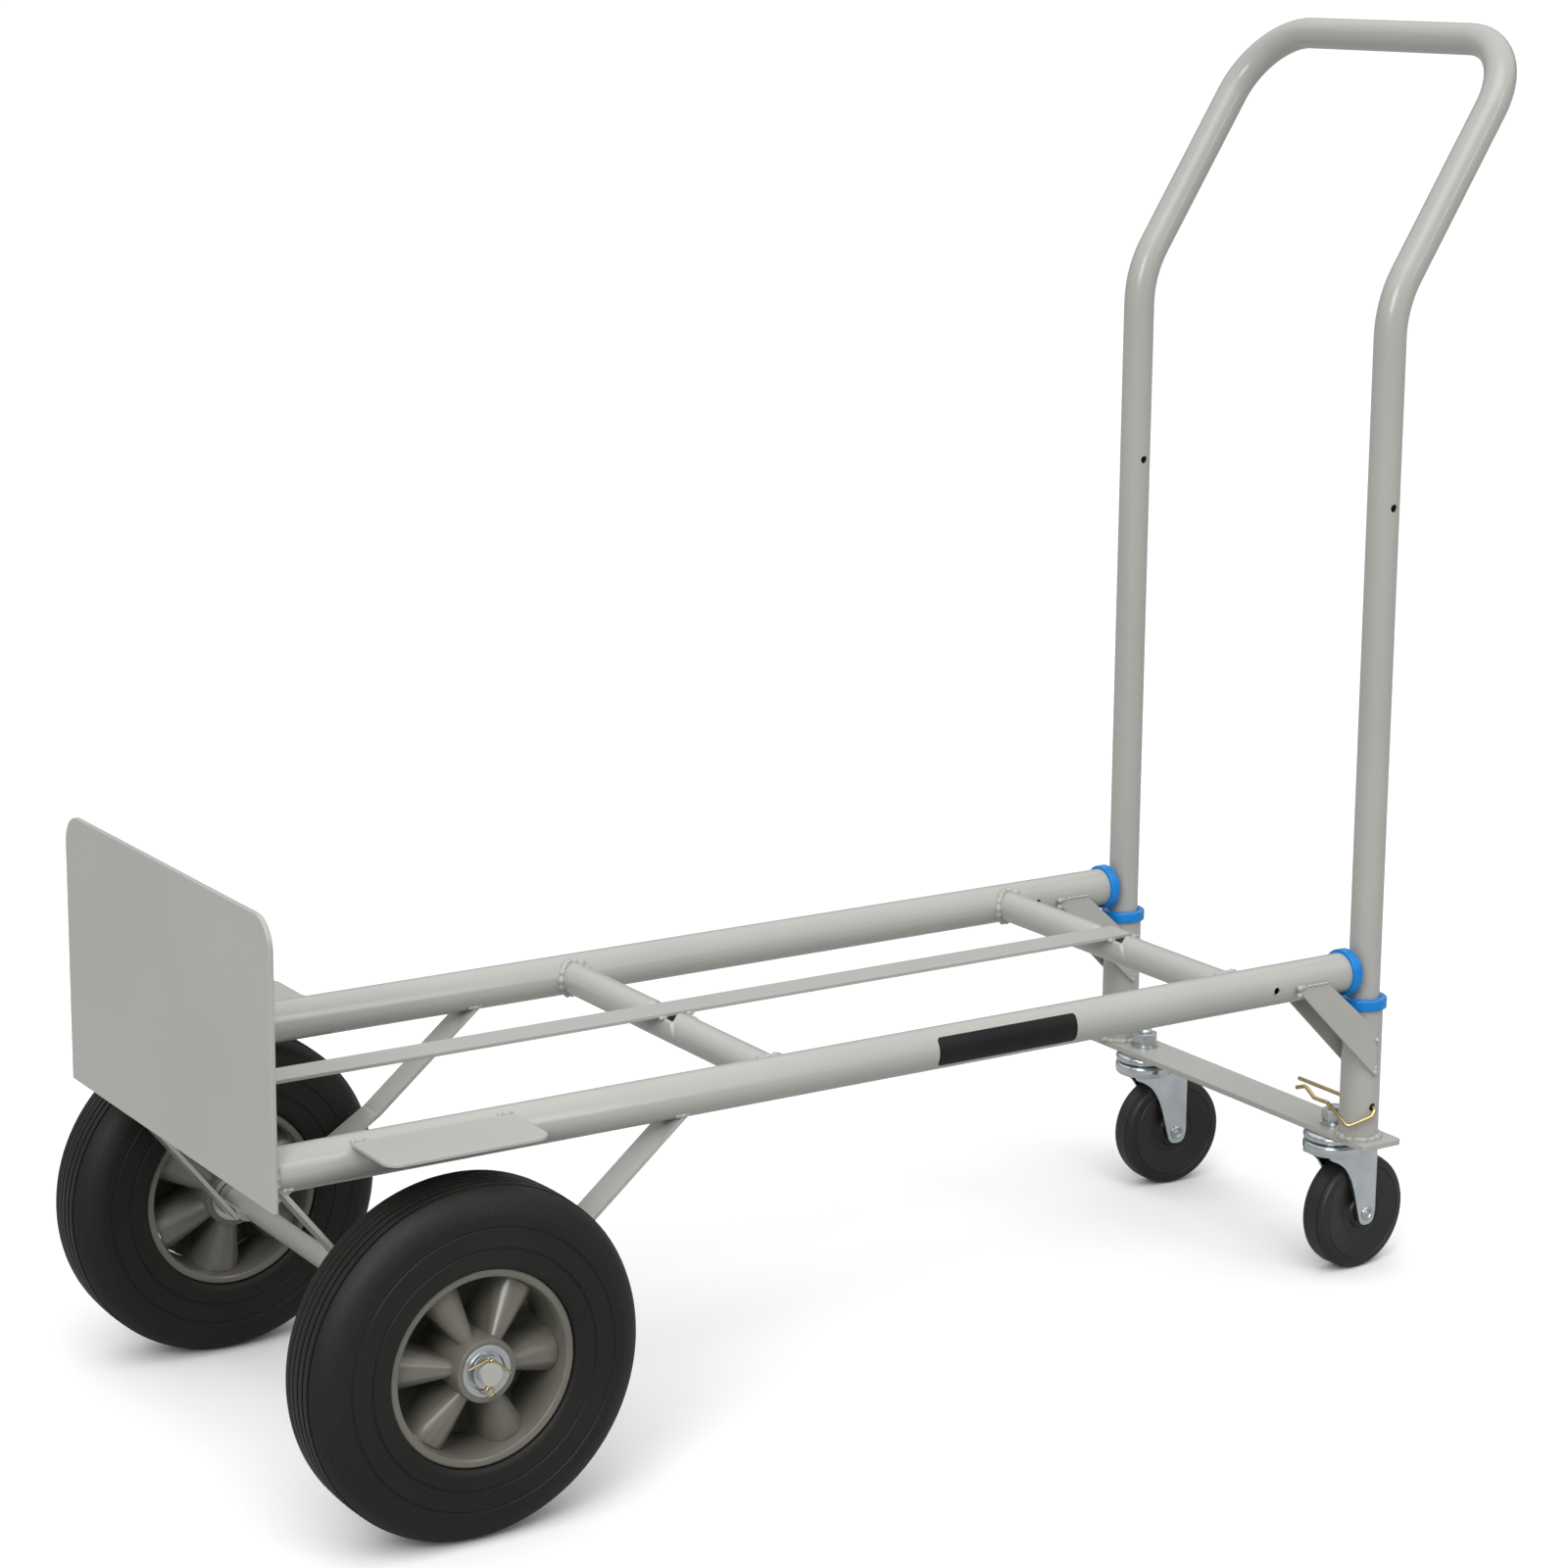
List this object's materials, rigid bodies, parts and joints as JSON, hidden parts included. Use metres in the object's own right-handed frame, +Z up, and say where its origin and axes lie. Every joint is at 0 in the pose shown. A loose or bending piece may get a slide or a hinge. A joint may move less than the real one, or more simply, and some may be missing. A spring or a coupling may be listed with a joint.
{
  "type": "convertible hand truck",
  "caption": "Tubular hand truck standing as a platform cart, with a bent tube handle in sockets, a flat toe plate, solid tyres on spoked hubs and swivel casters.",
  "frame": {"origin": "on the floor, in the middle of the truck", "axes": "+X from the toe plate to the handle, +Y to the right-hand side seen from the handle, +Z up"},
  "size_m": [1.1096, 0.4874, 1.0097],
  "materials": {
    "grey_paint": "glossy warm light grey powder coat",
    "tyre_rubber": "matt black rubber, fine grain on the shoulders",
    "hub_plastic": "glossy dark warm grey moulded plastic",
    "caster_rubber": "smooth black hard rubber",
    "collar_plastic": "glossy bright blue plastic",
    "label_film": "blank black film",
    "yellow_zinc": "yellow-passivated zinc plate on spring wire",
    "bright_zinc": "bright zinc plate",
    "steel_fittings": "zinc-plated steel"
  },
  "bodies": {
    "root": {"toe_plate": "grey_paint", "main_tube_left": "grey_paint", "main_tube_right": "grey_paint", "cross_tube_middle": "grey_paint", "cross_tube_rear": "grey_paint", "centre_strap": "grey_paint", "socket_tube_left": "grey_paint", "socket_tube_right": "grey_paint", "gusset_left": "grey_paint", "gusset_right": "grey_paint", "caster_bar": "grey_paint", "axle": "grey_paint", "axle_brace_left": "grey_paint", "axle_brace_right": "grey_paint", "fender_left": "grey_paint", "fender_right": "grey_paint", "tube_collar_left": "collar_plastic", "tube_collar_right": "collar_plastic", "socket_collar_left": "collar_plastic", "socket_collar_right": "collar_plastic", "name_plate": "label_film", "axle_washers": "steel_fittings", "cotter_pins": "yellow_zinc", "caster_stems": "steel_fittings", "caster_nuts": "steel_fittings", "caster_lock_washers": "steel_fittings", "caster_upper_races": "bright_zinc"},
    "handle": {"handle": "grey_paint"},
    "lock_pin": {"lock_pin": "yellow_zinc"},
    "wheel_left": {"tyre_left": "tyre_rubber", "hub_left": "hub_plastic", "wheel_bearings_left": "steel_fittings"},
    "caster_left": {"caster_fork_left": "bright_zinc", "caster_axle_left": "steel_fittings", "caster_balls_left": "steel_fittings"},
    "caster_roller_left": {"caster_wheel_left": "caster_rubber", "caster_bush_left": "steel_fittings"},
    "wheel_right": {"tyre_right": "tyre_rubber", "hub_right": "hub_plastic", "wheel_bearings_right": "steel_fittings"},
    "caster_right": {"caster_fork_right": "bright_zinc", "caster_axle_right": "steel_fittings", "caster_balls_right": "steel_fittings"},
    "caster_roller_right": {"caster_wheel_right": "caster_rubber", "caster_bush_right": "steel_fittings"}
  },
  "joints": [
    {"name": "handle_lift", "type": "slide", "parent": "root", "child": "handle", "axis": [0, 0, 1], "range_m": [0, 0.2]},
    {"name": "lock_pin_pull", "type": "slide", "parent": "root", "child": "lock_pin", "axis": [0, -1, 0], "range_m": [0, 0.1]},
    {"name": "wheel_spin_left", "type": "hinge", "parent": "root", "child": "wheel_left", "pos_m": [-0.42779, -0.2032, 0.127], "axis": [0, 1, 0], "continuous": true},
    {"name": "caster_swivel_left", "type": "hinge", "parent": "root", "child": "caster_left", "pos_m": [0.41821, -0.124, 0.11], "axis": [0, 0, 1], "continuous": true},
    {"name": "caster_roll_left", "type": "hinge", "parent": "caster_left", "child": "caster_roller_left", "pos_m": [0.44312, -0.12182, 0.048], "axis": [-0.0872, 0.9962, 0], "continuous": true},
    {"name": "wheel_spin_right", "type": "hinge", "parent": "root", "child": "wheel_right", "pos_m": [-0.42779, 0.2032, 0.127], "axis": [0, 1, 0], "continuous": true},
    {"name": "caster_swivel_right", "type": "hinge", "parent": "root", "child": "caster_right", "pos_m": [0.41821, 0.124, 0.11], "axis": [0, 0, 1], "continuous": true},
    {"name": "caster_roll_right", "type": "hinge", "parent": "caster_right", "child": "caster_roller_right", "pos_m": [0.44315, 0.12226, 0.048], "axis": [0.0698, 0.9976, 0], "continuous": true}
  ]
}
